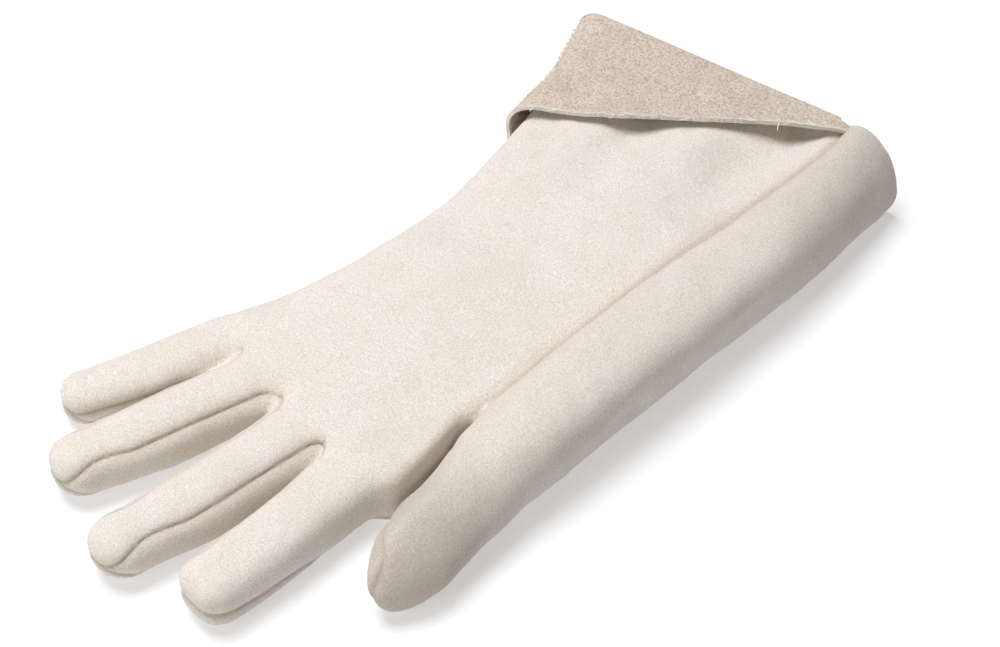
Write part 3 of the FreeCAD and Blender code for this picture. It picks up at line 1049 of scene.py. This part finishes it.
def make_turnbacks():
    """The flap over the gauntlet's back, and the sheet turned under its palm."""
    low, high = (-104.0, 70.0, -6.0), (56.0, 212.0, 56.0)
    points, triangles = cut_all(*surface(turned_field, low, high, SKIN_STEP), (
        lambda x, y, z: (behind_cuff(x, y), True),
        lambda x, y, z: (turned_seam(x, y, z), x < 0),
        lambda x, y, z: ((y - raw_edge(x)) * SLANT_SHARE, turned_seam(x, y, z) >= 0),
        lambda x, y, z: (y - under_raw_edge(x), turned_seam(x, y, z) <= 0),
        lambda x, y, z: (x - UNDER_END, z < 12),
    ))
    x, y, z = points[triangles].mean(axis=1).T
    kept = behind_cuff(x, y) < 0
    upper = turned_seam(x, y, z) > 0
    over = kept & upper & (y > raw_edge(x)) & (x < FLAP_END)
    under = kept & ~upper & (y > under_raw_edge(x)) & (x < UNDER_END)
    normals = unit(slope_of(turned_field, points))
    x, y, z = points.T
    rough = 0.5 * wander(points, 9.0, 5.0) + 0.25 * wander(points, 3.0, 9.0)
    edge = np.maximum(y - np.where(turned_seam(x, y, z) > -0.5, raw_edge(x), under_raw_edge(x)), 0)
    waves = 0.8 * wander(points * (1, 1, 0), 16.0, 2.0) * np.exp(-edge / 8.0)
    held = fade(-behind_cuff(x, y), 0.5, 6.0) * fade(z, 3.0, 20.0)
    seam = np.exp(-np.abs(turned_seam(x, y, z)) / 1.2) * (x < 0) * fade(z, 10, 20)
    height = (rough + waves) * held - 0.7 * seam
    marks = {"cut_edge": 0.9 * np.exp(-edge / 0.9)}
    inner = points + normals * np.maximum(height * 0.5, -0.3)[:, None]
    outer = points + normals * (LEATHER + height)[:, None]
    outer[:, 2] = np.maximum(outer[:, 2], FLOOR_GAP)
    pieces = (("cuff_back_turnback", over, "cuff_flap"), ("cuff_palm_turnback", under, "gauntlet"))
    for name, chosen, body in pieces:
        faces = triangles[chosen]
        smooth = point_normals(outer, faces)
        obj = shell(f"{name}_leather", outer, inner, smooth, faces, rough_suede, marks)
        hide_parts(name)
        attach(obj, body)


def grid_triangles(rows, columns):
    """Triangles of a grid of points numbered row by row."""
    corner = (np.arange(rows - 1)[:, None] * columns + np.arange(columns - 1)).ravel()
    return np.concatenate([
        np.stack([corner, corner + 1, corner + columns + 1], 1),
        np.stack([corner, corner + columns + 1, corner + columns], 1),
    ])


# Places round the mouth, in turns from the thumb side over the top. The fold divides at FOLD_SPLIT.
FOLD_START, FOLD_SPLIT, FOLD_END = 0.045, 0.46, 0.93
# The point that those turns are about: its place along the mouth from the fold's hinge, and its height.
MOUTH_SHIFT, MOUTH_HEIGHT = -2.0, 22.0
# Far enough to be past the mouth's edge from that point.
MOUTH_REACH = 140.0


def make_fold(name, start, end, count):
    """The rounded fold between the gauntlet's mouth and the leather turned back from it."""
    along = np.array([fold_back[1], -fold_back[0], 0.0])
    centre = fold_point + along * MOUTH_SHIFT
    centre[2] = MOUTH_HEIGHT
    angle = 2 * np.pi * np.linspace(start, end, count)[:, None]
    ray = np.cos(angle) * along + np.sin(angle) * np.array([0, 0, 1.0])
    path = crossing(main_field, np.broadcast_to(centre, ray.shape), centre + ray * MOUTH_REACH, 0.0)
    normals = slope_of(main_field, path)
    normals = unit(normals - (normals @ fold_back)[:, None] * fold_back)
    lift = flap_lift(*path.T)[:, None]
    turns = np.radians(np.linspace(-90, 90, 13))
    outer, inner, facing = [], [], []
    for turn in turns:
        way = np.sin(turn) * normals + np.cos(turn) * fold_back
        middle = path + normals * lift / 2
        outer.append(middle + way * (lift / 2 + LEATHER))
        inner.append(middle + way * lift / 2)
        facing.append(way)
    outer, inner, facing = (np.concatenate(rows) for rows in (outer, inner, facing))
    outer[:, 2] = np.maximum(outer[:, 2], FLOOR_GAP)
    triangles = grid_triangles(len(turns), count)
    if (face_normals(outer, triangles) * facing[triangles[:, 0]]).sum() < 0:
        triangles = triangles[:, ::-1]
    return shell(name, outer, inner, facing, triangles, rough_suede)


# Stitches along the turned-back seam. Their ends are sunk by STITCH_DEPTH, and they arch between them.
STITCH_LENGTH, STITCH_PITCH, STITCH_RADIUS = 2.6, 3.4, 0.38
STITCH_ARCH, STITCH_DEPTH = 0.35, 0.15
# Threads hanging from the raw edge.
LOOSE_THREADS, LOOSE_RADIUS = 15, 0.24


def tube(path, radius, sides=6):
    """A closed round thread along a path, tapering into its ends, as (points, triangles, normals)."""
    count = len(path)
    ahead = unit(np.gradient(path, axis=0))
    across = unit(np.cross(ahead, (0.13, 0.27, 0.95)))
    up = np.cross(ahead, across)
    thick = radius * np.array([0.35] + [1.0] * (count - 2) + [0.35])
    turn = np.linspace(0, 2 * np.pi, sides, endpoint=False)
    normals = across[:, None] * np.cos(turn)[:, None] + up[:, None] * np.sin(turn)[:, None]
    points = (path[:, None] + normals * thick[:, None, None]).reshape(-1, 3)
    normals = normals.reshape(-1, 3)
    row, column = np.divmod(np.arange((count - 1) * sides), sides)
    a, b = row * sides + column, row * sides + (column + 1) % sides
    triangles = [np.stack([a, b, b + sides], 1), np.stack([a, b + sides, a + sides], 1)]
    last = (count - 1) * sides
    fan = np.arange(1, sides - 1)
    triangles.append(np.stack([0 * fan, fan + 1, fan], 1))
    triangles.append(np.stack([last + 0 * fan, last + fan, last + fan + 1], 1))
    return points, np.concatenate(triangles), normals


def threads(name, paths, radius, body):
    """Several threads as one piece."""
    points, triangles, normals = zip(*(tube(path, radius) for path in paths))
    starts = np.cumsum([0, *(len(part) for part in points[:-1])])
    triangles = np.concatenate([part + start for part, start in zip(triangles, starts)])
    normals = np.concatenate(normals)
    mesh = build_mesh(name, np.concatenate(points), triangles, normals[triangles.ravel()])
    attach(add_piece(mesh, thread), body)


def make_stitches():
    """White stitches along the seam between the two turned-back pieces."""
    y = np.arange(88.0, 152.0, 0.6)
    z = TURNED_SEAM_SHARE * top_height(y)
    inside, outside = (np.stack([np.full(y.shape, x), y, z], axis=1) for x in (-30.0, -125.0))
    seam = crossing(turned_field, inside, outside, LEATHER)
    seam = seam[behind_cuff(seam[:, 0], seam[:, 1]) < -1.5]
    travelled = np.concatenate([[0], np.cumsum(np.linalg.norm(np.diff(seam, axis=0), axis=1))])
    outward = unit(slope_of(turned_field, seam))
    arch = STITCH_ARCH * np.sin(np.linspace(0, np.pi, 5)) - STITCH_DEPTH
    paths = []
    for start in np.arange(1.0, travelled[-1] - 3.0, STITCH_PITCH):
        where = np.linspace(start, start + STITCH_LENGTH, len(arch))
        place, out = (
            np.stack([np.interp(where, travelled, column) for column in values.T], axis=1)
            for values in (seam, outward)
        )
        paths.append(place + out * arch[:, None])
    threads("turnback_stitches", paths, STITCH_RADIUS, "gauntlet")


def make_loose_threads():
    """Threads that hang from the flap's raw edge."""
    random = np.random.default_rng(4)
    x = random.uniform(-66, 40, LOOSE_THREADS)
    low, high = (np.stack([x, raw_edge(x) + 0.3, np.full(x.shape, z)], axis=1) for z in (30.0, 62.0))
    paths = []
    for root in crossing(turned_field, low, high, LEATHER):
        heading = random.uniform(-2.9, -1.2)
        length = random.uniform(3.0, 6.5)
        along = np.linspace(0, 1, 6)[:, None] * length
        way = np.array([np.cos(heading), np.sin(heading), random.uniform(-0.2, 0.25)])
        sway = np.array([-way[1], way[0], 0.3]) * random.uniform(-0.5, 0.5)
        paths.append(root - 0.5 * way + along * way + sway * (along**2) / length)
    threads("raw_edge_threads", paths, LOOSE_RADIUS, "cuff_flap")


make_turnbacks()
make_stitches()
make_loose_threads()
top_fold = make_fold("cuff_fold_top", FOLD_START, FOLD_SPLIT, 150)
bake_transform(top_fold)
side_fold = make_fold("cuff_fold_under", FOLD_SPLIT, FOLD_END, 130)
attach(side_fold, "gauntlet")


# ---------------- floor, light and camera


def make_floor():
    bpy.ops.mesh.primitive_plane_add(size=6.0, location=(0, 0, 0))
    floor = bpy.context.object
    floor.name = "floor"
    nodes = Nodes("floor")
    colour = nodes.mix(nodes.noise(60.0), (0.55, 0.55, 0.55), (0.57, 0.57, 0.57))
    nodes.shader.inputs["Emission Color"].default_value = (1, 1, 1, 1)
    nodes.shader.inputs["Emission Strength"].default_value = 0.42
    floor.data.materials.append(nodes.finish(colour, 0.9, 0.0))


def area_light(name, place, size, power, colour):
    """A round lamp at a place in metres, facing the origin."""
    data = bpy.data.lights.new(name, "AREA")
    data.shape = "DISK"
    data.size = size
    data.energy = power
    data.color = colour
    lamp = into_scene(name, data)
    lamp.location = place
    lamp.rotation_euler = (-Vector(place)).to_track_quat("-Z", "Y").to_euler()


make_floor()
area_light("key", (-0.5, -0.1, 1.95), 1.2, 41.0, (1.0, 1.015, 1.06))
area_light("fill", (0.1, -1.15, 0.85), 0.6, 5.0, (1.0, 0.99, 0.97))

world = bpy.data.worlds.new("studio")
world.use_nodes = True
background = world.node_tree.nodes["Background"]
background.inputs["Color"].default_value = (1.0, 0.94, 0.88, 1)
background.inputs["Strength"].default_value = 0.18
bpy.context.scene.world = world
bpy.context.scene.view_settings.view_transform = "Standard"

camera_data = bpy.data.cameras.new("camera")
camera_data.lens = 85.0
camera = into_scene("camera", camera_data)
bpy.context.scene.camera = camera
# The camera's aim and distance in metres, and its place round the glove.
TARGET = Vector((0.010, 0.007, 0.015))
AZIMUTH, ELEVATION, DISTANCE = np.radians(48.0), np.radians(50.0), 1.040
camera.location = TARGET + DISTANCE * Vector(
    (np.sin(AZIMUTH) * np.cos(ELEVATION), -np.cos(AZIMUTH) * np.cos(ELEVATION), np.sin(ELEVATION))
)
camera.rotation_euler = (TARGET - camera.location).to_track_quat("-Z", "Y").to_euler()
